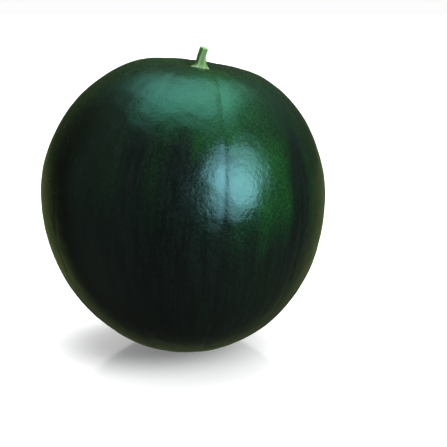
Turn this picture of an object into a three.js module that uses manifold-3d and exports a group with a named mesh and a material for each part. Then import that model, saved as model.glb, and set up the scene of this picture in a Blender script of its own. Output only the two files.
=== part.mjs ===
// A round black-green watermelon, picked and standing on its blossom end, with the cut stub of its stem.
// Millimetres, +Z up, front towards -Y. The origin lies on the ground, under the middle of the fruit.
import * as THREE from "three";
import { mergeVertices } from "three/addons/utils/BufferGeometryUtils.js";
import Module from "manifold-3d";

const { abs, atan2, cos, exp, hypot, sin, PI } = Math;
const { lerp, smoothstep } = THREE.MathUtils;
const degrees = PI / 180;

// The fruit is two half ellipsoids that meet at its widest ring.
const equatorRadius = 125;
const upperHeight = 125.5; // widest ring to the crown, before the hollow is pressed in
const lowerHeight = 141; // widest ring to the blossom end: longer, so the shoulders look broad
const stemEndLean = 8.2 * degrees; // the stem end leans to the right, and the blossom end doesn't
const cheekSwell = 2; // the lower right side is this much fuller, and the lower left this much slimmer
const flatSpotDepth = 4; // how much of the blossom end is pressed flat where it stands

// The broad hollow round the stem.
const hollowDepth = 13.4;
const hollowSpread = 17 * degrees;

// Furrows run from the stem end to the blossom end, a deep one and a faint one in turn.
const furrowCount = 10;
const firstFurrow = (-90 + 16) * degrees; // 16 degrees to the right of the front
const furrowSpread = 2.6 * degrees;
const furrowDepth = 0.3; // at the widest ring
const shoulderFurrowDepth = 0.3; // added on the shoulders, round the hollow
const shoulderAt = 30 * degrees;
const shoulderSpread = 18 * degrees;
const faintShare = 0.35;
const lobeHeight = 0.3; // how far the skin rises between two deep furrows
const stemEndFade = 7 * degrees; // furrows die out this close to the stem
const blossomEndFade = 20 * degrees; // and this close to the blossom end, clear of the flat spot

// The corky scar that the flower left, sunk in the middle of the flat spot.
const scarRadius = 6;
const scarDepth = 1.2;
const scarTaper = 0.7; // its floor's share of its rim's radius

// The stem, from its root in the hollow to its slanted cut. Heights count from the skin.
const rootDepth = 5;
const stemHeight = 18;
const stemSway = 0.9; // how far its middle stands to the left of the line that leaves the skin squarely
const rootRadius = 3.4;
const collarRadius = 7.4; // the foot, where it spreads onto the skin
const collarShift = 1.4; // the collar's middle stands this far to the left of the shaft's
const collarRim = 1.2; // how deep the collar's edge reaches below the skin
const collarHeight = 0.8; // and how high its full radius reaches above it
const collarSpread = 2; // over this height above that, it narrows to 0.37 of its spread
const shaftRadius = 4.2;
const cutRadius = 3.5;
const ridgeCount = 5;
const ridgeHeight = 0.35;
const collarRidgeHeight = 0.6; // added where the ridges run out into the collar
const ridgeTwist = 55 * degrees; // how far the ridges turn on their way up
const cutSlope = 0.3; // how steeply the cut falls
const cutFacing = -45 * degrees; // towards the front and the right
const seatGap = 0.3; // between the stem and the fruit

// The meshes' grids.
const columnsPerLobe = 8;
const columnCrowding = 0.6; // columns crowd in at the deep furrows
const fruitRows = 46;
const rowCrowding = 0.35; // rows crowd in at both ends
const stemSides = 30;
const stemRows = 30;
const scarSides = 24;

// A bell curve: 1 at 0, and 0.37 where x equals spread.
const bell = (x, spread) => exp(-((x / spread) ** 2));

// How far the skin stands above or below the smooth form, from its lobes and furrows.
function furrowRelief(polar, azimuth) {
  const lobe = ((azimuth - firstFurrow) * furrowCount) / (2 * PI);
  const fromDeep = (abs(lobe - Math.round(lobe)) * 2 * PI) / furrowCount;
  const fromFaint = PI / furrowCount - fromDeep;
  const depth = furrowDepth + shoulderFurrowDepth * bell(polar - shoulderAt, shoulderSpread);
  const crease = bell(fromDeep, furrowSpread) + faintShare * bell(fromFaint, furrowSpread);
  const swell = lobeHeight * abs(sin(PI * lobe));
  const fade = (1 - bell(polar, stemEndFade)) * (1 - bell(PI - polar, blossomEndFade));
  return (swell - depth * crease) * fade;
}

// A point of the skin, from the middle of the widest ring. Polar is 0 at the stem and PI at the blossom end.
function skinPoint(polar, azimuth) {
  const across = sin(polar);
  const along = cos(polar);
  const halfHeight = along > 0 ? upperHeight : lowerHeight;
  const ellipse = 1 / hypot(across / equatorRadius, along / halfHeight);
  const hollow = hollowDepth * bell(polar, hollowSpread);
  const cheek = along < 0 ? -2 * cheekSwell * across * along * cos(azimuth) : 0;
  const lean = (stemEndLean * (1 + along)) / 2;
  return new THREE.Vector3(across * cos(azimuth), across * sin(azimuth), along)
    .applyAxisAngle(new THREE.Vector3(0, 1, 0), lean)
    .multiplyScalar(ellipse - hollow + cheek + furrowRelief(polar, azimuth));
}

// The whole skin, as a sphere's grid carried onto it.
function skinGeometry() {
  const geometry = new THREE.SphereGeometry(1, furrowCount * columnsPerLobe, fruitRows);
  const { position, uv } = geometry.attributes;
  for (let i = 0; i < position.count; i++) {
    const lobes = uv.getX(i) * furrowCount;
    const down = 1 - uv.getY(i);
    const crowded = lobes - (columnCrowding * sin(2 * PI * lobes)) / (2 * PI);
    const azimuth = firstFurrow + (crowded / furrowCount) * 2 * PI;
    const polar = PI * down - (rowCrowding / 2) * sin(2 * PI * down);
    position.setXYZ(i, ...skinPoint(polar, azimuth));
  }
  return geometry;
}

// The collar's share of the stem at a height: 1 up to its rim, and less and less above it.
const collarShare = (height) => exp(-Math.max(height - collarHeight, 0) / collarSpread);

// The stem's radius at a height and a direction round it: a narrow root, a spreading collar, a ridged shaft.
function stemRadius(height, around) {
  const shaft = lerp(shaftRadius, cutRadius, Math.max(height, 0) / stemHeight);
  const body = lerp(shaft, collarRadius, collarShare(height));
  const ridges = (ridgeHeight + collarRidgeHeight * collarShare(height)) * cos(ridgeCount * around);
  const belowRim = smoothstep(-height, collarRim, 2 * collarRim);
  return lerp(body + ridges, rootRadius, belowRim);
}

// The stem, or with a clearance the socket that it stands in. Its rings lie square to the skin below.
function stemGeometry(clearance = 0) {
  const geometry = new THREE.CylinderGeometry(1, 1, 1, stemSides, stemRows);
  geometry.rotateX(PI / 2);
  const { position } = geometry.attributes;
  for (let i = 0; i < position.count; i++) {
    const share = position.getZ(i) + 0.5; // 0 at the root, 1 at the cut
    const height = lerp(-rootDepth, stemHeight, share);
    const sway = stemSway * sin((PI * Math.max(height, 0)) / stemHeight) ** 2;
    const sideways = -sway - collarShift * collarShare(height);
    const around = atan2(position.getY(i), position.getX(i));
    const onAxis = hypot(position.getX(i), position.getY(i)) < 0.5;
    const radius = onAxis ? 0 : stemRadius(height, around - ridgeTwist * share) + clearance;
    const reach = height < -collarRim ? -clearance : 0;
    const slant = share === 1 ? -cutSlope * radius * cos(around - cutFacing) : 0;
    position.setXYZ(i, sideways + radius * cos(around), radius * sin(around), height + reach + slant);
  }
  geometry.rotateY(stemEndLean);
  geometry.translate(...skinPoint(0, 0));
  return geometry;
}

const wasm = await Module();
wasm.setup();

// A closed geometry as a solid that can be cut.
function solid(geometry) {
  geometry.deleteAttribute("normal");
  geometry.deleteAttribute("uv");
  const merged = mergeVertices(geometry);
  const vertProperties = merged.attributes.position.array;
  const triVerts = new Uint32Array(merged.index.array);
  return new wasm.Manifold(new wasm.Mesh({ numProp: 3, vertProperties, triVerts }));
}

// The skin, pressed flat where it stands, with the blossom scar and the stem's socket sunk in.
function fruitGeometry() {
  const groundLevel = flatSpotDepth - lowerHeight;
  const ground = new THREE.BoxGeometry(2 * equatorRadius, 2 * equatorRadius, equatorRadius);
  ground.translate(0, 0, groundLevel - equatorRadius / 2);
  const scar = new THREE.CylinderGeometry(scarTaper * scarRadius, scarRadius, 2 * scarDepth, scarSides);
  scar.rotateX(PI / 2);
  scar.translate(0, 0, groundLevel);
  const cuts = [ground, scar, stemGeometry(seatGap)];
  const cut = cuts.reduce((whole, tool) => whole.subtract(solid(tool)), solid(skinGeometry()));
  const { vertProperties, triVerts } = cut.getMesh();
  const geometry = new THREE.BufferGeometry();
  geometry.setAttribute("position", new THREE.BufferAttribute(vertProperties, 3));
  geometry.setIndex(new THREE.BufferAttribute(triVerts, 1));
  geometry.computeVertexNormals();
  return geometry;
}

const rind = new THREE.MeshStandardMaterial({ color: 0x14301d, roughness: 0.38, metalness: 0 });
const freshStem = new THREE.MeshStandardMaterial({ color: 0x6aa261, roughness: 0.7, metalness: 0 });

const fruit = new THREE.Mesh(fruitGeometry(), rind);
fruit.name = "fruit";
const stem = new THREE.Mesh(stemGeometry(), freshStem);
stem.name = "stem";

// Stand it on the ground.
const watermelon = new THREE.Group();
watermelon.add(fruit, stem);
watermelon.position.z = lowerHeight - flatSpotDepth;

export default watermelon;
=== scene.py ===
import math

import bpy
import numpy as np
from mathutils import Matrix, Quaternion, Vector


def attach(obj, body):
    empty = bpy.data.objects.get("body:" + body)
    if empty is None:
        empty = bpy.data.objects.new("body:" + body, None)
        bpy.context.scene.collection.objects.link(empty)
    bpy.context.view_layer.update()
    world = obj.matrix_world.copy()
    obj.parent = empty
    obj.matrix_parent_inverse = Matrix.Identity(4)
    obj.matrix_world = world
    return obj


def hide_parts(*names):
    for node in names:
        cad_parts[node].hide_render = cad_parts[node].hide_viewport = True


# A round black-green watermelon, picked, standing on its blossom end on a white studio floor.
# Metres, +Z up, front towards -Y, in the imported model's own frame.
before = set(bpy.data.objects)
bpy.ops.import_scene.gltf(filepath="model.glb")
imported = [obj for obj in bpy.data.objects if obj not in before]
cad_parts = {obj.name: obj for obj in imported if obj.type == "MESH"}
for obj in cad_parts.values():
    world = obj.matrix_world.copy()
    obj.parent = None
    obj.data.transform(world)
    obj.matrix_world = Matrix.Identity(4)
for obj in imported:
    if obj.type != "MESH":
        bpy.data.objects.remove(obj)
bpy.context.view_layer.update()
scene = bpy.context.scene
print("frame: the packed fruit and stem are in")

camera = {
    "photoSide": 447,  # the photograph is square, in pixels
    "lens": 85,  # millimetres
    "sensor": 36,
    "elevation": 14,  # degrees above the horizon
    "distance": 0.9367,  # to the middle of the fruit's widest ring
    "ringHeight": 0.137,  # that middle's height above the floor
    "fruitPixel": (183.8, 194.4),  # where it stands in the photograph
}


def makeCamera(settings):
    # Looks along the elevation, from middle - distance * ahead, and stands aside by as much as the fruit's
    # pixel lies off the photograph's centre.
    data = bpy.data.cameras.new("camera")
    data.lens = settings["lens"]
    data.sensor_width = settings["sensor"]
    eye = bpy.data.objects.new("camera", data)
    scene.collection.objects.link(eye)
    tilt = math.radians(settings["elevation"])
    right = Vector((1, 0, 0))
    ahead = Vector((0, math.cos(tilt), -math.sin(tilt)))
    up = Vector((0, math.sin(tilt), math.cos(tilt)))
    pixelsPerUnit = settings["lens"] / settings["sensor"] * settings["photoSide"]
    aside, below = [(pixel - settings["photoSide"] / 2) / pixelsPerUnit for pixel in settings["fruitPixel"]]
    middle = Vector((0, 0, settings["ringHeight"]))
    eye.location = middle - settings["distance"] * (ahead + aside * right - below * up)
    eye.rotation_euler = ahead.to_track_quat("-Z", "Y").to_euler()
    scene.camera = eye


makeCamera(camera)
print("camera: at the photograph's angle")


def linear(colour):
    # An sRGB hex colour as linear RGBA: each channel c becomes ((c + 0.055) / 1.055) ^ 2.4, or c / 12.92
    # where it is dark.
    channels = [int(colour[i:i + 2], 16) / 255 for i in (1, 3, 5)]
    return [c / 12.92 if c < 0.04045 else ((c + 0.055) / 1.055) ** 2.4 for c in channels] + [1]


def addNode(tree, kind, inputs=None, output=None, **settings):
    # Adds a node with its settings. An input given a socket is linked to it, and any other value is set
    # on it. Gives back the named output, or the first one in use.
    node = tree.nodes.new(kind)
    for name, value in settings.items():
        setattr(node, name, value)
    for socket, value in (inputs or {}).items():
        if isinstance(value, bpy.types.NodeSocket):
            tree.links.new(value, node.inputs[socket])
        else:
            node.inputs[socket].default_value = value
    inUse = [socket for socket in node.outputs if socket.enabled]
    return node.outputs[output] if output else inUse[0] if inUse else None


def newMaterial(name, piece):
    # Puts an empty material on a piece, and gives back its tree.
    made = bpy.data.materials.new(name)
    made.use_nodes = True
    made.node_tree.nodes.clear()
    piece.data.materials.append(made)
    return made.node_tree


def newPiece(name, points, faces):
    # An object at the origin, unturned, with its place in its mesh.
    mesh = bpy.data.meshes.new(name)
    mesh.from_pydata(points, [], faces)
    piece = bpy.data.objects.new(name, mesh)
    scene.collection.objects.link(piece)
    return piece


def bell(x, spread):
    # exp(-(x / spread)^2): 1 at 0, and 0.37 where x equals spread.
    return np.exp(-((x / spread) ** 2))


def smoothStep(x, low, high):
    # t * t * (3 - 2 * t): 0 below low, 1 above high, and an S curve between them.
    t = np.clip((x - low) / (high - low), 0, 1)
    return t * t * (3 - 2 * t)


def ripple(points, wavelength, seed, waves=28):
    # Smooth random relief from -1 to 1 or so: the sum of sin(k . p + phase) over plane waves of about one
    # wavelength, in random directions.
    rng = np.random.default_rng(seed)
    turn = rng.normal(size=(waves, 3))
    turn /= np.linalg.norm(turn, axis=1, keepdims=True)
    turn *= 2 * np.pi / wavelength * rng.uniform(0.7, 1.4, (waves, 1))
    phase = rng.uniform(0, 2 * np.pi, waves)
    return np.sin(points @ turn.T + phase).sum(-1) * math.sqrt(2 / waves) / 2


def ringMesh(name, rings, firstPole, lastPole, attributes):
    # A closed skin over rings of points: quads between neighbouring rings, and a fan from each end ring to
    # its pole. An attribute is a value for each ring's point, and one for each pole.
    rows, columns = rings.shape[:2]
    points = np.concatenate([rings.reshape(-1, 3), [firstPole, lastPole]])
    index = np.arange(rows * columns).reshape(rows, columns)
    following = np.roll(index, -1, axis=1)
    quads = np.stack([index[:-1], index[1:], following[1:], following[:-1]], -1).reshape(-1, 4)
    first = np.stack([np.full(columns, rows * columns), index[0], following[0]], -1)
    last = np.stack([following[-1], index[-1], np.full(columns, rows * columns + 1)], -1)
    piece = newPiece(name, points.tolist(), quads.tolist() + first.tolist() + last.tolist())
    mesh = piece.data
    mesh.polygons.foreach_set("use_smooth", np.ones(len(mesh.polygons), bool))
    for label, (grid, atFirst, atLast) in attributes.items():
        grid = grid.reshape(rows * columns, -1)
        values = np.concatenate([grid, np.atleast_2d(atFirst), np.atleast_2d(atLast)])
        isVector = values.shape[1] == 3
        made = mesh.attributes.new(label, "FLOAT_VECTOR" if isVector else "FLOAT", "POINT")
        made.data.foreach_set("vector" if isVector else "value", values.astype(np.float32).ravel())
    mesh.update()
    return piece


# The fruit's form, in metres and radians, as in the solid.
fruit = {
    "equatorRadius": 0.125,
    "upperHeight": 0.1255,  # widest ring to the crown, before the hollow is pressed in
    "lowerHeight": 0.141,  # widest ring to the blossom end
    "stemEndLean": math.radians(8.2),
    "cheekSwell": 0.002,
    "flatSpotDepth": 0.004,
    "hollowDepth": 0.0134,
    "hollowSpread": math.radians(17),
    "furrowCount": 10,
    "firstFurrow": math.radians(-90 + 16),
    "grooveDepth": 0.00022,  # the fine crease in the middle of each furrow
    "grooveSpread": math.radians(1.45),
    "troughDepth": 0.00012,  # and the wide trough that it runs in
    "troughSpread": math.radians(3.2),
    "shoulderFurrowDepth": 0.0002,  # added to the trough on the shoulders
    "shoulderGrooveLoss": 0.6,  # the groove's share that is lost there
    "shoulderAt": math.radians(30),
    "shoulderSpread": math.radians(18),
    # How marked each furrow is, going round to the right from the first. Every second one is a faint one.
    "furrowShares": (
        1, 0.2, 0.35, 0.15, 0.4, 0.2, 0.7, 0.2, 0.5, 0.1, 0.8, 0.2, 0.5, 0.2, 0.6, 0.1, 0.3, 0.2, 0.25, 0.2),
    "lobeHeight": 0.0003,
    "stemEndFade": math.radians(7),
    "blossomEndFade": math.radians(20),
    "wobble": 0.0003,  # broad unevenness, as of a grown thing
    "wobbleLength": 0.055,
    "dents": 0.0001,  # small unevenness, which makes the edges of the gloss ragged
    "dentLength": 0.015,
    "scarRadius": 0.006,
    "scarDepth": 0.0012,
    "scarFloor": 0.6,  # its floor's share of its radius
    "corkEdge": (0.9, 1.15),  # the cork fades out between these, in scar radii
    "columnsPerLobe": 40,
    "columnCrowding": 0.6,
    "rows": 236,
    "rowCrowding": 0.35,
}

# How dark each stripe is, going round to the right from the first furrow. Every second one lies midway
# between two furrows.
stripes = {
    "strengths": (
        0.6, 0.05, 1, 0.3, 0.9, 0.2, 0.8, 0.4, 1, 0.3, 0.85, 0.2, 0.9, 0.5, 0.75, 0.3, 0.95, 0.5, 0.9, 0.95),
    "spread": math.radians(3.6),  # half width of a faint one, and as much again for a dark one
    "wander": math.radians(1.3),  # how far they stray sideways
    "wanderLength": 0.07,
    "shoulderShare": 0.25,  # how marked they still are on the shoulders
    "startBetween": (0.8, 1.15),  # radians from the stem
}

# Where the green shows: in a broad streak that swings to the right and narrows on its way down from the
# shoulder, and in another on the left. These streaks follow where the key lamp lights the front right and
# where the rim glows on the left, so their green is partly the skin's own and partly painted light. The rest
# is nearly black. Angles round the fruit count from the front to the right, and angles down it from the stem,
# in radians.
green = {
    "upper": {"at": math.radians(10), "spread": math.radians(36), "level": 0.85},
    "lower": {"at": math.radians(36), "spread": math.radians(22), "level": 1.0},
    "left": {"at": math.radians(-100), "spread": math.radians(34), "level": 0.9},
    "swingBetween": (0.85, 1.2),  # down the fruit, from the upper to the lower
    "fadeBetween": (1.3, 1.8),
    "lowShare": 0.06,  # what is left of it below that
    "least": 0.14,  # between the streaks
    "shoulderLeast": 0.3,
    "shoulderBetween": (0.45, 0.85),
    "reach": 0.06,  # how far fine streaks reach over these limits, up and down
    "reachWidth": 0.02,  # their width in metres
    "stray": 0.04,  # how far the limits stray sideways
    "strayWidth": 0.06,
}


def fromMeridian(azimuth, number, count):
    # The angle from the meridian that stands number / count of a turn past the first furrow.
    return np.angle(np.exp(1j * (azimuth - fruit["firstFurrow"] - 2 * np.pi * number / count)))


def furrowRelief(polar, azimuth):
    # lobeHeight * |sin(pi * lobe)|, less a trough and a groove, both bells, on each furrow, and all of it
    # fading out at both ends.
    lobe = (azimuth - fruit["firstFurrow"]) * fruit["furrowCount"] / (2 * np.pi)
    shoulder = bell(polar - fruit["shoulderAt"], fruit["shoulderSpread"])
    trough = fruit["troughDepth"] + fruit["shoulderFurrowDepth"] * shoulder
    groove = fruit["grooveDepth"] * (1 - fruit["shoulderGrooveLoss"] * shoulder)
    relief = fruit["lobeHeight"] * np.abs(np.sin(np.pi * lobe))
    for number, share in enumerate(fruit["furrowShares"]):
        away = fromMeridian(azimuth, number, len(fruit["furrowShares"]))
        relief = relief - share * trough * bell(away, fruit["troughSpread"])
        relief = relief - share * groove * bell(away, fruit["grooveSpread"])
    fade = (1 - bell(polar, fruit["stemEndFade"])) * (1 - bell(np.pi - polar, fruit["blossomEndFade"]))
    return relief * fade


def skinPoints(polar, azimuth):
    # radius = 1 / hypot(across / equatorRadius, along / halfHeight), less the hollow's bell, with the cheek,
    # the furrows and the unevenness, along a direction that leans over towards the stem end.
    across, along = np.sin(polar), np.cos(polar)
    halfHeight = np.where(along > 0, fruit["upperHeight"], fruit["lowerHeight"])
    radius = 1 / np.hypot(across / fruit["equatorRadius"], along / halfHeight)
    radius = radius - fruit["hollowDepth"] * bell(polar, fruit["hollowSpread"])
    radius = radius - 2 * fruit["cheekSwell"] * across * np.minimum(along, 0) * np.cos(azimuth)
    direction = np.stack([across * np.cos(azimuth), across * np.sin(azimuth), along], -1)
    onSphere = direction * fruit["equatorRadius"]
    radius = radius + fruit["wobble"] * ripple(onSphere, fruit["wobbleLength"], seed=3)
    radius = radius + fruit["dents"] * ripple(onSphere, fruit["dentLength"], seed=4, waves=60)
    radius = radius + furrowRelief(polar, azimuth)
    lean = fruit["stemEndLean"] * (1 + along) / 2
    x = direction[..., 0] * np.cos(lean) + direction[..., 2] * np.sin(lean)
    z = direction[..., 2] * np.cos(lean) - direction[..., 0] * np.sin(lean)
    points = np.stack([x, direction[..., 1], z], -1) * radius[..., None]
    points[..., 2] += fruit["lowerHeight"] - fruit["flatSpotDepth"]
    return points


def streaky(polar, azimuth, width, seed):
    # A ripple that is drawn out along the meridians: on a cylinder a sixth as high as the skin is long.
    points = np.stack([np.cos(azimuth), np.sin(azimuth), polar / 6], -1)
    return ripple(points * fruit["equatorRadius"], width, seed, waves=40)


def stripeField(polar, azimuth):
    # The darkest of the stripes here, each strength * bell(azimuth - its own, spread * (1 + strength)), on
    # an azimuth that strays a little. They start at a ragged line on the shoulders.
    across = np.sin(polar)
    onSphere = np.stack([across * np.cos(azimuth), across * np.sin(azimuth), np.cos(polar)], -1)
    onSphere *= fruit["equatorRadius"]
    strayed = azimuth + stripes["wander"] * ripple(onSphere, stripes["wanderLength"], seed=5)
    ragged = polar + green["reach"] * streaky(polar, azimuth, green["reachWidth"], seed=9)
    field = np.zeros_like(polar)
    for number, strength in enumerate(stripes["strengths"]):
        away = fromMeridian(strayed, number, len(stripes["strengths"]))
        field = np.maximum(field, strength * bell(away, stripes["spread"] * (1 + strength)))
    started = smoothStep(ragged, *stripes["startBetween"])
    return field * (stripes["shoulderShare"] + (1 - stripes["shoulderShare"]) * started)


def greenAndPaintedLightField(polar, azimuth):
    # The sum of each streak's level * bell(angle from its middle, spread), or the least, times a fade towards
    # the blossom end. The streaks are partly the skin's green and partly painted light from the key lamp and
    # the rim.
    azimuth = azimuth + green["stray"] * streaky(polar, azimuth, green["strayWidth"], seed=7)
    polar = polar + green["reach"] * streaky(polar, azimuth, green["reachWidth"], seed=8)
    swung = smoothStep(polar, *green["swingBetween"])
    upper, lower = green["upper"], green["lower"]
    swinging = {name: upper[name] + (lower[name] - upper[name]) * swung for name in upper}
    greenShareWithPaintedLight = 0
    for streak in (swinging, green["left"]):
        away = np.angle(np.exp(1j * (azimuth + np.pi / 2 - streak["at"])))
        greenShareWithPaintedLight = greenShareWithPaintedLight + streak["level"] * bell(away, streak["spread"])
    below = smoothStep(polar, *green["shoulderBetween"])
    least = green["shoulderLeast"] + (green["least"] - green["shoulderLeast"]) * below
    fade = 1 - (1 - green["lowShare"]) * smoothStep(polar, *green["fadeBetween"])
    return np.maximum(greenShareWithPaintedLight, least) * fade


def makeFruit():
    # A grid of azimuth and polar angle on the skin. Columns crowd in at the furrows, and rows at both ends.
    columns = fruit["furrowCount"] * fruit["columnsPerLobe"]
    lobes = np.arange(columns) / fruit["columnsPerLobe"]
    lobes = lobes - fruit["columnCrowding"] * np.sin(2 * np.pi * lobes) / (2 * np.pi)
    azimuth = fruit["firstFurrow"] + lobes / fruit["furrowCount"] * 2 * np.pi
    down = np.arange(1, fruit["rows"]) / fruit["rows"]
    polar = np.pi * down - fruit["rowCrowding"] / 2 * np.sin(2 * np.pi * down)
    polar, azimuth = np.meshgrid(polar, azimuth, indexing="ij")
    rings = skinPoints(polar, azimuth)
    stemPole = skinPoints(np.zeros(1), np.zeros(1))[0]
    # Pressed flat where it stands, with the scar sunk in the middle.
    scarRadii = np.hypot(rings[..., 0], rings[..., 1]) / fruit["scarRadius"]
    isBelow = rings[..., 2] < fruit["equatorRadius"] / 2
    scar = fruit["scarDepth"] * (1 - smoothStep(scarRadii, fruit["scarFloor"], 1)) * isBelow
    rings[..., 2] = np.maximum(rings[..., 2], 0) + scar
    blossomPole = [0, 0, fruit["scarDepth"]]
    cork = (1 - smoothStep(scarRadii, *fruit["corkEdge"])) * isBelow
    grain = np.stack([np.cos(azimuth), np.sin(azimuth), polar], -1)
    return ringMesh("rind", rings, stemPole, blossomPole, {
        "stripe": (stripeField(polar, azimuth), 0.3, 0.3),
        "green": (greenAndPaintedLightField(polar, azimuth), 0.3, 0.1),
        "polar": (polar, 0.0, np.pi),
        "cork": (cork, 0.0, 1.0),
        "grain": (grain, [0, 0, 0], [0, 0, np.pi]),
    })


rind = makeFruit()
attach(rind, "root")
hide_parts("fruit")
print("rind:", len(rind.data.vertices), "points")

# The skin of a dark watermelon: a thin living skin under its natural wax. The wax gives a wide, soft, bluish
# gloss over nearly black green, and the cells under it give the fine mottling.
rindFinish = {
    "black": "#11110f",  # in the stripes, and over most of the skin
    "green": "#163913",
    "fleck": "#1d431b",  # paler cells of the mottling
    "olive": "#181310",  # towards the blossom end
    "fibre": "#1a1d19",  # fine paler fibres in the dark skin, from end to end
    "bloomAndPaintedSheen": "#5d8c80",  # dusty wax on the shoulders, and partly a painted sheen from the softbox
    "cork": "#8a7556",  # the scar that the flower left is dry and matt
    "corkCrack": "#54452f",
    "waxTint": "#cbf8ff",  # the wax turns the gloss towards blue
    "ior": 1.5,
    "roughness": (0.15, 0.29),  # where the skin is evenest, and where it is most uneven
    "unevenBetween": (0.6, 1.4),
    "corkRoughness": 0.6,  # on top of that
    "featherLength": 0.008,  # ragged edges of the stripes, in metres
    "featherPush": 0.55,  # how far they reach
    "mottleLength": 0.0019,  # the real cells are finer, and too fine to show
    "mottleBetween": (0.35, 0.7),
    "mottleLevels": (0.8, 1.15),  # of green
    "streakWidth": 0.0045,
    "streakPush": 0.45,
    "streakSquash": 0.12,  # their width as a share of their length, or so
    "stripeBetween": (0.7, 1.3),  # where a pushed stripe starts, and where it is darkest
    "stripeLeast": 0.08,  # the green that is left there
    "patchLength": 0.045,
    "patchBetween": (0.3, 0.7),
    "patchLevels": (0.6, 1.25),  # of green
    "oliveBetween": (1.4, 2.0),  # radians from the stem
    "fibreBetween": (0.8, 1.3),
    "bloomAndPaintedSheenShare": 0.05,
    "bloomAndPaintedSheenBetween": (0.3, 1.2),  # it thins out between these, in radians from the stem
    "dimpleLength": 0.0034,  # shallow dimples, which break up the gloss, coarser than the real pores
    "dimpleHeight": 0.00018,
    "mottleHeight": 0.3,  # the mottling's relief, as a share of theirs
}


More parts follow.
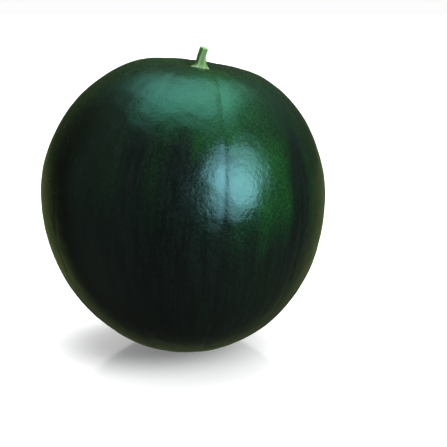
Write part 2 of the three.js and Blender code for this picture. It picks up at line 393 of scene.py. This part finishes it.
def rindMaterial(settings):
    # The share of green is the attribute, times patches and mottling, times what the stripes leave of it.
    tree = newMaterial("waxyRind", rind)
    place = addNode(tree, "ShaderNodeTexCoord", output="Object")
    stripe = addNode(tree, "ShaderNodeAttribute", output="Fac", attribute_name="stripe")
    # The green attribute is partly the skin's own green and partly painted light, where the key lamp and the
    # rim fall.
    greenShareWithPaintedLight = addNode(tree, "ShaderNodeAttribute", output="Fac", attribute_name="green")
    polar = addNode(tree, "ShaderNodeAttribute", output="Fac", attribute_name="polar")
    isCork = addNode(tree, "ShaderNodeAttribute", output="Fac", attribute_name="cork")
    grain = addNode(tree, "ShaderNodeAttribute", output="Vector", attribute_name="grain")
    along = addNode(tree, "ShaderNodeMapping", {"Vector": grain, "Scale": (1, 1, settings["streakSquash"])})
    feather = addNode(tree, "ShaderNodeTexNoise", {
        "Vector": place, "Scale": 1 / settings["featherLength"], "Detail": 3.0, "Roughness": 0.6})
    mottle = addNode(tree, "ShaderNodeTexNoise", {
        "Vector": place, "Scale": 1 / settings["mottleLength"], "Detail": 3.0, "Roughness": 0.6})
    streaksAcross = fruit["equatorRadius"] / settings["streakWidth"]
    streak = addNode(tree, "ShaderNodeTexNoise", {
        "Vector": along, "Scale": streaksAcross, "Detail": 3.0, "Roughness": 0.6})
    patch = addNode(tree, "ShaderNodeTexNoise", {
        "Vector": place, "Scale": 1 / settings["patchLength"], "Detail": 2.0})
    dimple = addNode(tree, "ShaderNodeTexNoise", {
        "Vector": place, "Scale": 1 / settings["dimpleLength"], "Detail": 2.0, "Roughness": 0.5})

    # A stripe's edge is ragged, so its bell is pushed in and out by the feather and the streaks.
    pushed = addNode(tree, "ShaderNodeMath", {
        0: feather, 1: settings["featherPush"], 2: stripe}, operation="MULTIPLY_ADD")
    pushed = addNode(tree, "ShaderNodeMath", {
        0: streak, 1: settings["streakPush"], 2: pushed}, operation="MULTIPLY_ADD")
    start, darkest = settings["stripeBetween"]
    striped = addNode(tree, "ShaderNodeMapRange", {
        "Value": pushed, "From Min": start, "From Max": darkest, "To Min": 1.0,
        "To Max": settings["stripeLeast"]}, interpolation_type="SMOOTHSTEP")
    (start, end), (least, most) = settings["patchBetween"], settings["patchLevels"]
    patchy = addNode(tree, "ShaderNodeMapRange", {
        "Value": patch, "From Min": start, "From Max": end, "To Min": least, "To Max": most})
    greenShareWithPaintedLight = addNode(tree, "ShaderNodeMath", {0: greenShareWithPaintedLight, 1: patchy}, operation="MULTIPLY")
    greenShareWithPaintedLight = addNode(tree, "ShaderNodeMath", {0: greenShareWithPaintedLight, 1: striped}, operation="MULTIPLY")
    start, end = settings["mottleBetween"]
    cells = addNode(tree, "ShaderNodeMapRange", {
        "Value": mottle, "From Min": start, "From Max": end}, interpolation_type="SMOOTHSTEP")
    least, most = settings["mottleLevels"]
    speckled = addNode(tree, "ShaderNodeMapRange", {"Value": cells, "To Min": least, "To Max": most})
    greenShareWithPaintedLight = addNode(tree, "ShaderNodeMath", {0: greenShareWithPaintedLight, 1: speckled}, operation="MULTIPLY", use_clamp=True)
    skin = addNode(tree, "ShaderNodeMix", {
        "Factor": cells, "A": linear(settings["green"]), "B": linear(settings["fleck"])}, data_type="RGBA")
    start, end = settings["oliveBetween"]
    low = addNode(tree, "ShaderNodeMapRange", {
        "Value": polar, "From Min": start, "From Max": end}, interpolation_type="SMOOTHSTEP")
    dark = addNode(tree, "ShaderNodeMix", {
        "Factor": low, "A": linear(settings["black"]), "B": linear(settings["olive"])}, data_type="RGBA")
    fibre = addNode(tree, "ShaderNodeMath", {0: mottle, 1: streak}, operation="ADD")
    start, palest = settings["fibreBetween"]
    fibre = addNode(tree, "ShaderNodeMapRange", {
        "Value": fibre, "From Min": start, "From Max": palest}, interpolation_type="SMOOTHSTEP")
    dark = addNode(tree, "ShaderNodeMix", {
        "Factor": fibre, "A": dark, "B": linear(settings["fibre"])}, data_type="RGBA")
    painted = addNode(tree, "ShaderNodeMix", {"Factor": greenShareWithPaintedLight, "A": dark, "B": skin}, data_type="RGBA")
    # Pale teal towards the stem: dusty wax, and partly a painted sheen where the softbox overhead is
    # mirrored.
    start, end = settings["bloomAndPaintedSheenBetween"]
    dustAndPaintedSheen = addNode(tree, "ShaderNodeMapRange", {
        "Value": polar, "From Min": start, "From Max": end, "To Min": settings["bloomAndPaintedSheenShare"],
        "To Max": 0.0}, interpolation_type="SMOOTHSTEP")
    dustAndPaintedSheen = addNode(tree, "ShaderNodeMath", {0: dustAndPaintedSheen, 1: speckled}, operation="MULTIPLY")
    painted = addNode(tree, "ShaderNodeMix", {
        "Factor": dustAndPaintedSheen, "A": painted, "B": linear(settings["bloomAndPaintedSheen"])}, data_type="RGBA")
    cork = addNode(tree, "ShaderNodeMix", {
        "Factor": cells, "A": linear(settings["corkCrack"]), "B": linear(settings["cork"])}, data_type="RGBA")
    painted = addNode(tree, "ShaderNodeMix", {"Factor": isCork, "A": painted, "B": cork}, data_type="RGBA")

    uneven = addNode(tree, "ShaderNodeMath", {0: mottle, 1: feather}, operation="ADD")
    relief = addNode(tree, "ShaderNodeMath", {
        0: mottle, 1: settings["mottleHeight"], 2: dimple}, operation="MULTIPLY_ADD")
    (start, end), (least, most) = settings["unevenBetween"], settings["roughness"]
    roughness = addNode(tree, "ShaderNodeMapRange", {
        "Value": uneven, "From Min": start, "From Max": end, "To Min": least, "To Max": most})
    roughness = addNode(tree, "ShaderNodeMath", {
        0: isCork, 1: settings["corkRoughness"], 2: roughness}, operation="MULTIPLY_ADD")
    bump = addNode(tree, "ShaderNodeBump", {
        "Height": relief, "Strength": 1.0, "Distance": settings["dimpleHeight"]})
    surface = addNode(tree, "ShaderNodeBsdfPrincipled", {
        "Base Color": painted, "Roughness": roughness, "IOR": settings["ior"], "Normal": bump,
        "Specular Tint": linear(settings["waxTint"])})
    addNode(tree, "ShaderNodeOutputMaterial", {"Surface": surface})


rindMaterial(rindFinish)
print("rind: waxed")

# The stem: a cut stalk with five ridges, spreading into a collar on the skin.
stem = {
    "height": 0.018,
    "rootDepth": 0.005,
    "sway": 0.0009,  # how far its middle stands to the left of the line that leaves the skin squarely
    "rootRadius": 0.0034,
    "collarRadius": 0.0074,
    "collarShift": 0.0014,  # the collar's middle stands this far to the left of the shaft's
    "collarRim": 0.0012,
    "collarHeight": 0.0008,
    "collarSpread": 0.002,
    "shaftRadius": 0.0042,
    "cutRadius": 0.0035,
    "ridgeCount": 5,
    "ridgeHeight": 0.00035,
    "smallRidgeShare": 0.25,  # of small ridges between these
    "collarRidgeHeight": 0.0006,
    "ridgeTwist": math.radians(55),
    "cutSlope": 0.3,
    "cutFacing": math.radians(-45),
    "slantBetween": (0.75, 1),  # the rings turn into the cut's slope between these shares of the height
    "cutRounding": 0.0004,
    "cutDish": 0.0005,  # how far its middle is sunk
    "sides": 120,
    "rows": 120,
    "cutRows": 14,
    "cutInnermost": 0.96,  # how far in the last ring before the middle lies
}


def stemRings():
    # Rings square to the skin, of radius shaft + (collar - shaft) * exp(-above / collarSpread), with ridges
    # cos(ridgeCount * around), and then rings that shrink to the middle of the cut.
    up = np.concatenate([np.linspace(0, 1, stem["rows"]), np.ones(stem["cutRows"])])[:, None]
    onCut = np.linspace(0, stem["cutInnermost"], stem["cutRows"])
    inwards = np.concatenate([np.zeros(stem["rows"]), onCut])[:, None]
    around = np.linspace(0, 2 * np.pi, stem["sides"], endpoint=False)
    height = -stem["rootDepth"] + (stem["height"] + stem["rootDepth"]) * up
    share = np.maximum(height, 0) / stem["height"]
    spread = np.exp(-np.maximum(height - stem["collarHeight"], 0) / stem["collarSpread"])
    sideways = -stem["sway"] * np.sin(np.pi * share) ** 2 - stem["collarShift"] * spread
    shaft = stem["shaftRadius"] + (stem["cutRadius"] - stem["shaftRadius"]) * share
    turned = stem["ridgeCount"] * (around - stem["ridgeTwist"] * up)
    ridge = np.cos(turned) + stem["smallRidgeShare"] * np.cos(2 * turned)
    radius = shaft + (stem["collarRadius"] - shaft) * spread
    radius = radius + (stem["ridgeHeight"] + stem["collarRidgeHeight"] * spread) * ridge
    below = smoothStep(-height, stem["collarRim"], 2 * stem["collarRim"])
    radius = radius + (stem["rootRadius"] - radius) * below
    # The edge of the cut is rounded, and its face a little dished.
    toCut = np.clip((stem["height"] - height) / stem["cutRounding"], 0, 1)
    radius = radius - stem["cutRounding"] * (1 - np.sqrt(1 - (1 - toCut) ** 2))
    radius = radius * (1 - inwards)
    slanting = smoothStep(share, *stem["slantBetween"])
    slant = stem["cutSlope"] * radius * np.cos(around - stem["cutFacing"]) * slanting
    dish = stem["cutDish"] * np.sin(np.pi / 2 * inwards) ** 2
    x = sideways + radius * np.cos(around)
    y = radius * np.sin(around)
    z = height - slant - dish
    leanCos, leanSin = math.cos(fruit["stemEndLean"]), math.sin(fruit["stemEndLean"])
    leaned = np.stack([x * leanCos + z * leanSin, y, z * leanCos - x * leanSin], -1)
    foot = skinPoints(np.zeros(1), np.zeros(1))[0]
    whole = np.ones_like(x)
    return leaned + foot, ridge * whole, height * whole, inwards * whole


def makeStem():
    # The rings from the cut down to the root, so that the faces look outwards.
    rings, ridge, height, inwards = stemRings()
    root = rings[0].mean(0)
    cut = rings[-1].mean(0)
    return ringMesh("stalk", rings[::-1], cut, root, {
        "ridge": (ridge[::-1], 0.0, 0.0),
        "height": (height[::-1], stem["height"], -stem["rootDepth"]),
        "inwards": (inwards[::-1], 1.0, 0.0),
    })


stalk = makeStem()
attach(stalk, "root")
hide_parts("stem")

# A fresh green stalk: a thin matt skin over fibres, with a painted highlight that makes the ridges pale and
# painted shade that leaves the valleys deep green, a paler collar, and a pale cut with moist pith.
stalkFinish = {
    # flesh is the valleys' green, and the ridge colour over it is a painted highlight on the ridges
    "flesh": "#45743a",
    "ridge": "#6d9a5b",
    "collar": "#7fa070",
    "cut": "#a0b88e",
    "pith": "#7a9667",
    "roughness": 0.6,
    "mottles": 700.0,  # in a metre: the real fibres are finer, and too fine to show
    "mottlePush": 2.0,  # how far they blur the ridges' edges
    "mottleHeight": 0.0001,
    "ridgeHighlightBetween": (0.2, 2.2),
    "collarShare": 0.9,
    "collarBetween": (0.0025, 0.006),  # heights in metres, which the mottles push up
    "collarPush": 0.004,
    "cutBetween": (0.02, 0.12),  # shares of the way in from the cut's edge
    "pithBetween": (0.4, 0.7),
}


def stalkMaterial(settings):
    # Flesh to ridge by the ridge's height and the mottles, the ridge colour being a painted highlight, then
    # the collar by height, then the cut.
    tree = newMaterial("greenStalk", stalk)
    place = addNode(tree, "ShaderNodeTexCoord", output="Object")
    ridge = addNode(tree, "ShaderNodeAttribute", output="Fac", attribute_name="ridge")
    height = addNode(tree, "ShaderNodeAttribute", output="Fac", attribute_name="height")
    inwards = addNode(tree, "ShaderNodeAttribute", output="Fac", attribute_name="inwards")
    mottle = addNode(tree, "ShaderNodeTexNoise", {
        "Vector": place, "Scale": settings["mottles"], "Detail": 3.0})
    paintedRidgeHighlight = addNode(tree, "ShaderNodeMath", {
        0: mottle, 1: settings["mottlePush"], 2: ridge}, operation="MULTIPLY_ADD")
    start, end = settings["ridgeHighlightBetween"]
    paintedRidgeHighlight = addNode(tree, "ShaderNodeMapRange", {"Value": paintedRidgeHighlight, "From Min": start, "From Max": end})
    colour = addNode(tree, "ShaderNodeMix", {
        "Factor": paintedRidgeHighlight, "A": linear(settings["flesh"]), "B": linear(settings["ridge"])}, data_type="RGBA")
    nearSkin = addNode(tree, "ShaderNodeMath", {
        0: mottle, 1: settings["collarPush"], 2: height}, operation="MULTIPLY_ADD")
    start, end = settings["collarBetween"]
    nearSkin = addNode(tree, "ShaderNodeMapRange", {
        "Value": nearSkin, "From Min": start, "From Max": end, "To Min": settings["collarShare"],
        "To Max": 0.0})
    colour = addNode(tree, "ShaderNodeMix", {
        "Factor": nearSkin, "A": colour, "B": linear(settings["collar"])}, data_type="RGBA")
    start, end = settings["cutBetween"]
    onCut = addNode(tree, "ShaderNodeMapRange", {"Value": inwards, "From Min": start, "From Max": end})
    start, end = settings["pithBetween"]
    isPith = addNode(tree, "ShaderNodeMapRange", {"Value": inwards, "From Min": start, "From Max": end})
    face = addNode(tree, "ShaderNodeMix", {
        "Factor": isPith, "A": linear(settings["cut"]), "B": linear(settings["pith"])}, data_type="RGBA")
    colour = addNode(tree, "ShaderNodeMix", {"Factor": onCut, "A": colour, "B": face}, data_type="RGBA")
    bump = addNode(tree, "ShaderNodeBump", {"Height": mottle, "Distance": settings["mottleHeight"]})
    surface = addNode(tree, "ShaderNodeBsdfPrincipled", {
        "Base Color": colour, "Roughness": settings["roughness"], "Normal": bump})
    addNode(tree, "ShaderNodeOutputMaterial", {"Surface": surface})


stalkMaterial(stalkFinish)
print("stem: grown")

studio = {
    "floorColour": "#e6e8e8",
    "floorSize": 12.0,
    "floorLevel": -0.0001,
    "floorRoughness": 0.12,
    "floorIor": 1.45,
    "paintedShadowGlow": (0.2, 0.72),  # the table glows, dimmer under the fruit as a painted shadow: under the fruit, and away from it
    "paintedShadowGlowAt": (0.03, 0.1),
    "shadowStretch": 0.75,  # its shadow is longer sideways
    "shadowShift": 0.026,  # and lies to the left
    # The shadow behind the fruit, as its gloss sees it: full within the first radius, and gone beyond the
    # second.
    "shadeRadius": (0.07, 0.21),
    "shadeBehind": 0.1,
    "shadeLevel": -0.0002,
    "shadeGlow": 0.02,
    "shadeSides": 64,
    "wallSides": 96,
    "wallRadius": 5.5,
    "wallHeight": (-0.05, 3.0),
    "wallGlow": 1.1,
}

# The key lamp and its brighter core light the fruit alone, and the fill lamp the stem. Sizes and distances
# are in metres, turns in degrees and powers in watts.
lamps = {
    "key": {"towards": (0.65, -0.692, 0.305), "distance": 1.5, "size": (1.22, 1.6), "turn": -34,
            "power": 25.5, "colour": "#c7f8ff"},
    "core": {"towards": (0.652, -0.69, 0.29), "distance": 1.4, "size": (0.86, 0.62), "turn": -20,
             "power": 8.8, "colour": "#c7f8ff"},
    "fill": {"towards": (0.66, -0.68, 0.3), "distance": 1.5, "size": (1.2, 1.2), "turn": 0,
             "power": 30.0, "colour": "#ffffff"},
}

# What stands far off. A fade goes smoothly from one level to the other while a direction's share of right,
# back or up goes from one limit to the other.
sky = {
    "backdropGlow": 0.98,
    "boxGlow": 4.3,  # a long softbox over the fruit, a little behind it
    "boxColour": "#9cf8e0",
    "boxRise": 0.25,  # the share of up where it is full
    "frontGlow": 0.02,
    "frontColour": "#e6ecd8",
    "rearColour": "#5a693b",
    "fades": {
        "boxLeft": ("right", (-0.62, -0.1), (0, 1)),  # where the softbox ends on each side
        "boxRight": ("right", (0.66, 0.27), (0, 1)),
        "boxFront": ("back", (-0.48, 0.0), (0, 1)),
        "boxRear": ("back", (0.8, 0.1), (0, 1)),
        "dome": ("up", (-0.2, 0.6), (0.03, 0.3)),  # matt surfaces see these two, and the softbox
        "rear": ("back", (0.2, 0.9), (0, 1)),
        "leftWall": ("right", (-0.2, -0.9), (0, 0.14)),  # the gloss sees the others: a pale wall on the left,
        "leftWallEnd": ("back", (0.45, -0.1), (0, 1)),
        "table": ("up", (-0.1, -0.95), (0, 0.05)),  # the table in front,
        "rearWidth": ("back", (0.3, 0.85), (0, 1)),  # and the wall and the floor behind the fruit
        "rearFall": ("up", (0.02, -0.12), (0.36, 1.4)),
    },
}


def lightOnly(lamp, *receivers):
    # Lets a lamp light nothing but these.
    lit = bpy.data.collections.new(lamp.name + "Lights")
    for receiver in receivers:
        lit.objects.link(receiver)
    lamp.light_linking.receiver_collection = lit


def makeFloor():
    # A large square just under the fruit, of white lacquer, sprayed and polished: a soft mirror over even
    # white. It glows by the distance from the middle of the fruit's shadow, dimmer near it: a painted shadow.
    half, level = studio["floorSize"] / 2, studio["floorLevel"]
    corners = [(-half, -half, level), (half, -half, level), (half, half, level), (-half, half, level)]
    floor = newPiece("floor", corners, [(0, 1, 2, 3)])
    floor.visible_diffuse = False  # the fruit stands in a dark studio, and only the floor itself is bright
    floor.visible_glossy = False
    tree = newMaterial("whiteLacquerWithPaintedShadow", floor)
    place = addNode(tree, "ShaderNodeTexCoord", output="Object")
    place = addNode(tree, "ShaderNodeMapping", {
        "Vector": place, "Location": (studio["shadowShift"], 0, 0), "Scale": (studio["shadowStretch"], 1, 1)})
    away = addNode(tree, "ShaderNodeVectorMath", {0: place}, "Value", operation="LENGTH")
    (least, most), (near, far) = studio["paintedShadowGlow"], studio["paintedShadowGlowAt"]
    # A painted shadow: the glow is least near the fruit and most away from it.
    glow = addNode(tree, "ShaderNodeMapRange", {
        "Value": away, "From Min": near, "From Max": far, "To Min": least, "To Max": most},
        interpolation_type="SMOOTHSTEP")
    surface = addNode(tree, "ShaderNodeBsdfPrincipled", {
        "Base Color": linear(studio["floorColour"]), "Roughness": studio["floorRoughness"],
        "IOR": studio["floorIor"], "Emission Color": linear("#ffffff"), "Emission Strength": glow})
    addNode(tree, "ShaderNodeOutputMaterial", {"Surface": surface})
    return floor


def makeShade():
    # A disc of painted shade in the fruit's shadow behind it, clear towards its rim, that only the gloss
    # sees:
    # nearly black, it darkens what the fruit's underside mirrors.
    sides = studio["shadeSides"]
    inner, outer = studio["shadeRadius"]
    around = np.linspace(0, 2 * np.pi, sides, endpoint=False)
    x, y = outer * np.cos(around), outer * np.sin(around) + studio["shadeBehind"]
    points = np.column_stack([x, y, np.full(sides, studio["shadeLevel"])])
    shade = newPiece("shade", points.tolist(), [tuple(range(sides))])
    shade.visible_camera = False
    shade.visible_diffuse = False
    shade.visible_shadow = False
    tree = newMaterial("paintedShadeDisc", shade)
    place = addNode(tree, "ShaderNodeTexCoord", output="Object")
    away = addNode(tree, "ShaderNodeVectorMath", {
        0: place, 1: (0, studio["shadeBehind"], 0)}, "Value", operation="DISTANCE")
    clearness = addNode(tree, "ShaderNodeMapRange", {
        "Value": away, "From Min": inner, "From Max": outer}, interpolation_type="SMOOTHSTEP")
    black = addNode(tree, "ShaderNodeEmission", {"Strength": studio["shadeGlow"]})
    clear = addNode(tree, "ShaderNodeBsdfTransparent")
    both = addNode(tree, "ShaderNodeMixShader", {0: clearness, 1: black, 2: clear})
    addNode(tree, "ShaderNodeOutputMaterial", {"Surface": both})


def makeWall(floor):
    # A ring of quads round the studio, radius * (cos, sin), that only the floor mirrors: white cloth, lit
    # from behind, so that it glows evenly.
    sides = studio["wallSides"]
    around = np.linspace(0, 2 * np.pi, sides, endpoint=False)
    circle = studio["wallRadius"] * np.stack([np.cos(around), np.sin(around)], -1)
    points = np.concatenate([
        np.column_stack([circle, np.full(sides, level)]) for level in studio["wallHeight"]])
    index = np.arange(sides)
    following = np.roll(index, -1)
    quads = np.stack([index, index + sides, following + sides, following], -1)
    wall = newPiece("wall", points.tolist(), quads.tolist())
    wall.visible_camera = False
    wall.visible_diffuse = False
    wall.visible_shadow = False
    lightOnly(wall, floor)
    tree = newMaterial("whiteCloth", wall)
    glow = addNode(tree, "ShaderNodeEmission", {"Strength": studio["wallGlow"]})
    clear = addNode(tree, "ShaderNodeBsdfTransparent")
    both = addNode(tree, "ShaderNodeAddShader", {0: glow, 1: clear})
    addNode(tree, "ShaderNodeOutputMaterial", {"Surface": both})
    wall.active_material.cycles.emission_sampling = "NONE"


def makeLight(name, settings, *receivers):
    # An oval softbox that faces the middle of the fruit, turned round its own axis.
    data = bpy.data.lights.new(name, "AREA")
    data.shape = "ELLIPSE"
    data.size, data.size_y = settings["size"]
    data.energy = settings["power"]
    data.color = linear(settings["colour"])[:3]
    lamp = bpy.data.objects.new(name, data)
    scene.collection.objects.link(lamp)
    direction = Vector(settings["towards"]).normalized()
    lamp.location = direction * settings["distance"] + Vector((0, 0, camera["ringHeight"]))
    turn = Quaternion((0, 0, 1), math.radians(settings["turn"]))
    lamp.rotation_euler = (direction.to_track_quat("Z", "Y") @ turn).to_euler()
    lightOnly(lamp, *receivers)


def makeSky():
    # The rest of the studio: white to the camera, bright overhead and behind for matt surfaces, and for the
    # gloss a softbox overhead and a dim wall and pale floor behind, over dark.
    world = bpy.data.worlds.new("studio")
    world.use_nodes = True
    world.cycles.sampling_method = "NONE"  # so that each kind of ray sees its own part
    tree = world.node_tree
    tree.nodes.clear()
    towards = addNode(tree, "ShaderNodeTexCoord", output="Generated")
    shares = {
        name: addNode(tree, "ShaderNodeSeparateXYZ", {"Vector": towards}, axis)
        for name, axis in (("right", "X"), ("back", "Y"), ("up", "Z"))}
    isCamera, isGlossy = [
        addNode(tree, "ShaderNodeLightPath", output=kind) for kind in ("Is Camera Ray", "Is Glossy Ray")]
    fades = {}
    for name, (share, (start, end), (first, last)) in sky["fades"].items():
        fades[name] = addNode(tree, "ShaderNodeMapRange", {
            "Value": shares[share], "From Min": start, "From Max": end, "To Min": first, "To Max": last},
            interpolation_type="SMOOTHSTEP")

    box = addNode(tree, "ShaderNodeMapRange", {
        "Value": shares["up"], "From Min": 0.0, "From Max": sky["boxRise"], "To Max": sky["boxGlow"]})
    for side in ("boxLeft", "boxRight", "boxFront", "boxRear"):
        box = addNode(tree, "ShaderNodeMath", {0: box, 1: fades[side]}, operation="MULTIPLY")
    matt = addNode(tree, "ShaderNodeMath", {0: fades["dome"], 1: fades["rear"]}, operation="ADD")
    matt = addNode(tree, "ShaderNodeMath", {0: matt, 1: box}, operation="ADD")
    front = addNode(tree, "ShaderNodeMath", {
        0: fades["leftWall"], 1: fades["leftWallEnd"], 2: sky["frontGlow"]}, operation="MULTIPLY_ADD")
    front = addNode(tree, "ShaderNodeMath", {0: front, 1: fades["table"]}, operation="ADD")
    rear = addNode(tree, "ShaderNodeMath", {
        0: fades["rearWidth"], 1: fades["rearFall"]}, operation="MULTIPLY")

    white = linear("#ffffff")
    seenMatt = addNode(tree, "ShaderNodeBackground", {"Color": white, "Strength": matt})
    seenGlossy = addNode(tree, "ShaderNodeBackground", {
        "Color": linear(sky["frontColour"]), "Strength": front})
    for colour, strength in ((sky["boxColour"], box), (sky["rearColour"], rear)):
        more = addNode(tree, "ShaderNodeBackground", {"Color": linear(colour), "Strength": strength})
        seenGlossy = addNode(tree, "ShaderNodeAddShader", {0: seenGlossy, 1: more})
    seen = addNode(tree, "ShaderNodeMixShader", {0: isGlossy, 1: seenMatt, 2: seenGlossy})
    backdrop = addNode(tree, "ShaderNodeBackground", {"Color": white, "Strength": sky["backdropGlow"]})
    seen = addNode(tree, "ShaderNodeMixShader", {0: isCamera, 1: seen, 2: backdrop})
    addNode(tree, "ShaderNodeOutputWorld", {"Surface": seen})
    scene.world = world


floor = makeFloor()
makeWall(floor)
makeShade()
makeLight("key", lamps["key"], rind)
makeLight("core", lamps["core"], rind)
makeLight("fill", lamps["fill"], stalk)
makeSky()
scene.view_settings.view_transform = "Standard"
print("studio: lit")
